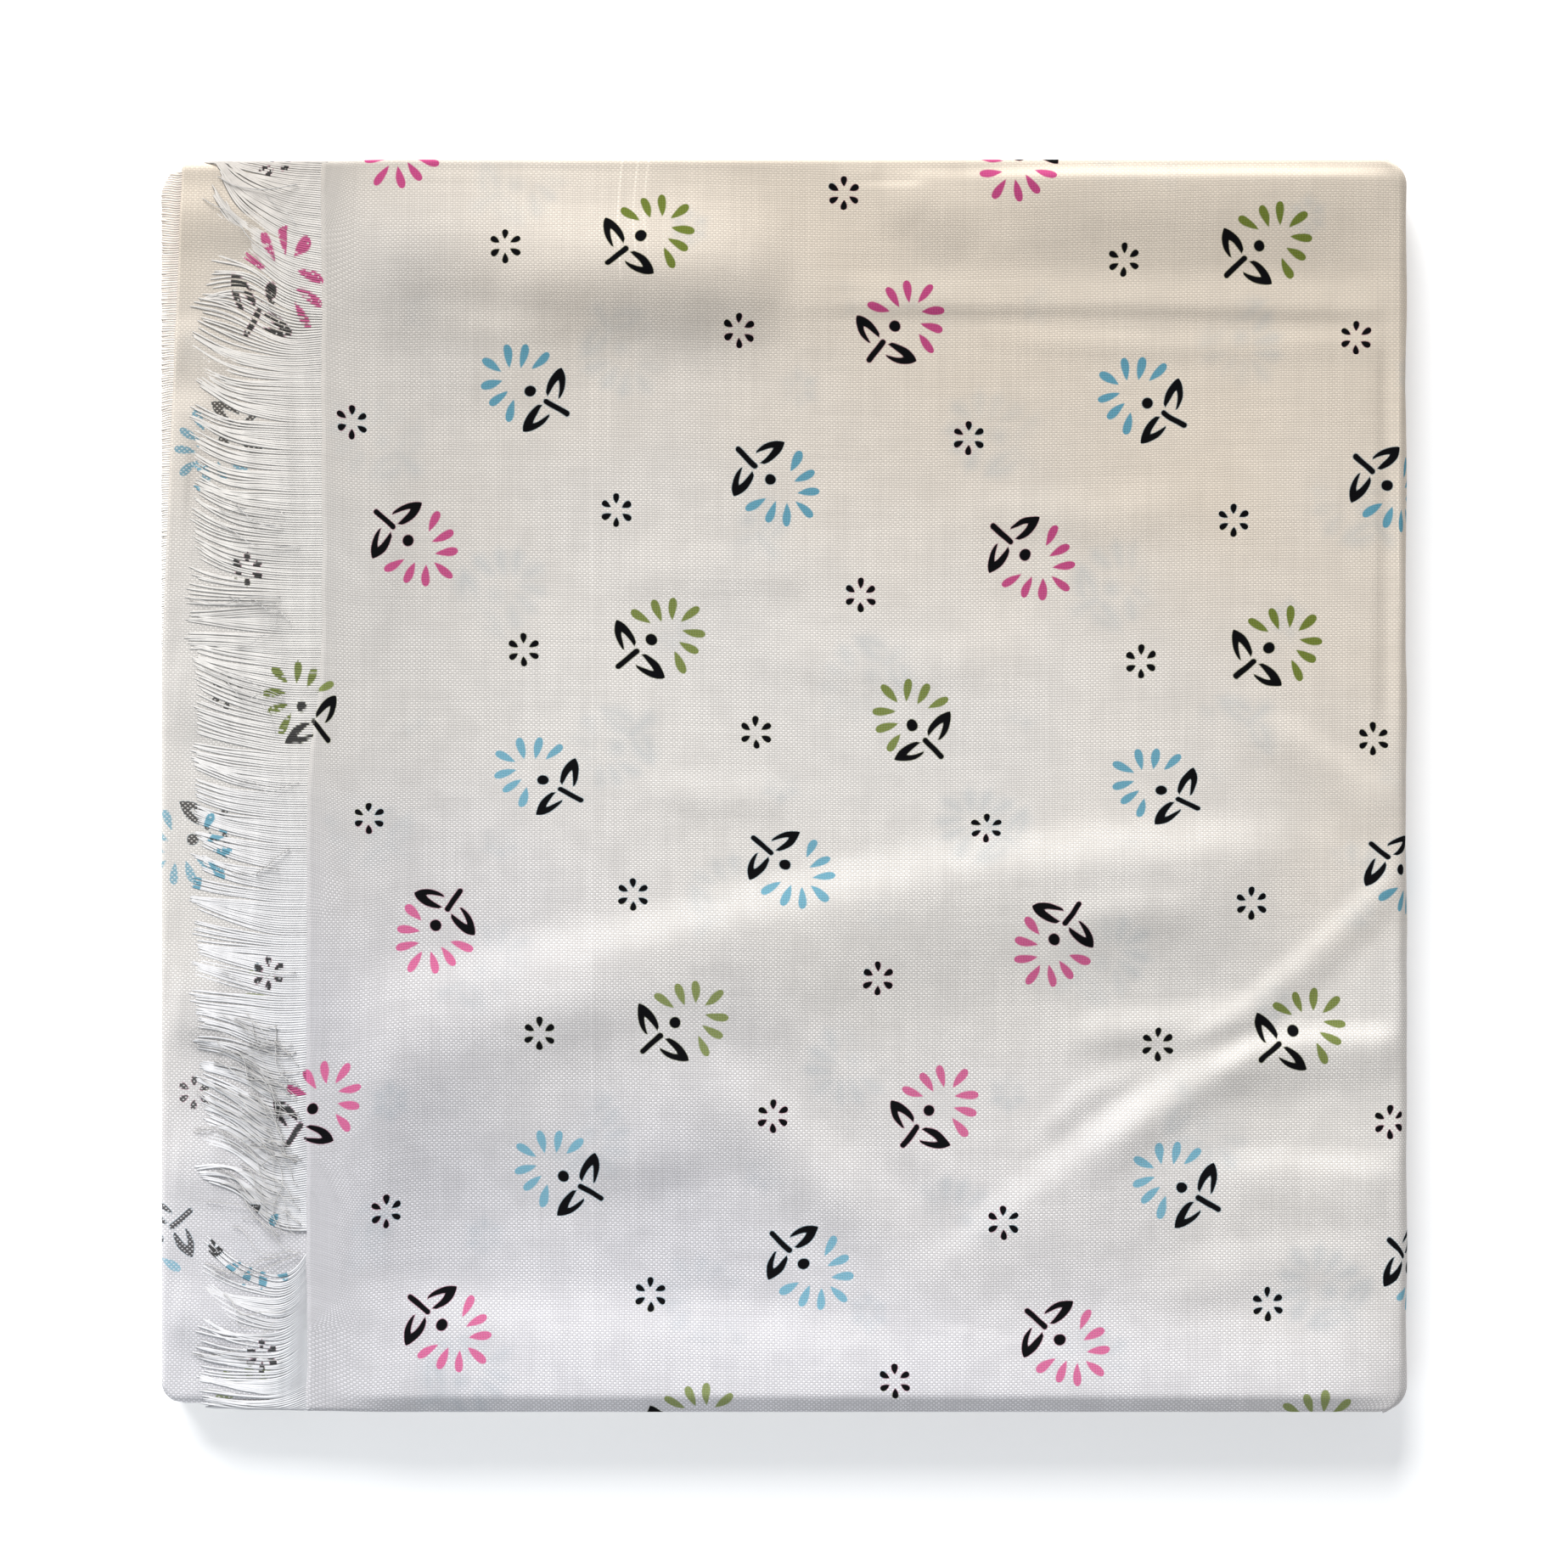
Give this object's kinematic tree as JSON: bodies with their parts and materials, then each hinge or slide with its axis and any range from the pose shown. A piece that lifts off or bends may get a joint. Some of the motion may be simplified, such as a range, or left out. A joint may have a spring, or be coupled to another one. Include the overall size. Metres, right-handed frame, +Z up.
{
  "type": "folded printed cotton shawl",
  "caption": "Thin white cotton shawl with a small flower print and self-fringed ends, folded into a flat square pack.",
  "frame": {"origin": "centre of the folded pack's footprint, on the surface it rests on", "axes": "+Z up through the thickness, -X towards the fringed ends"},
  "size_m": [0.2958, 0.2954, 0.0141],
  "materials": {
    "printed_cotton": "matt plain weave with a small flower print in black, pink, blue and green",
    "cotton_layers": "matt plain weave, folded edges",
    "fringe_threads": "matt loose cotton threads"
  },
  "bodies": {
    "root": {"folded_layers": "cotton_layers", "under_layer": "printed_cotton", "top_layer": "printed_cotton", "top_fringe": "fringe_threads", "under_fringe": "fringe_threads"}
  },
  "joints": []
}
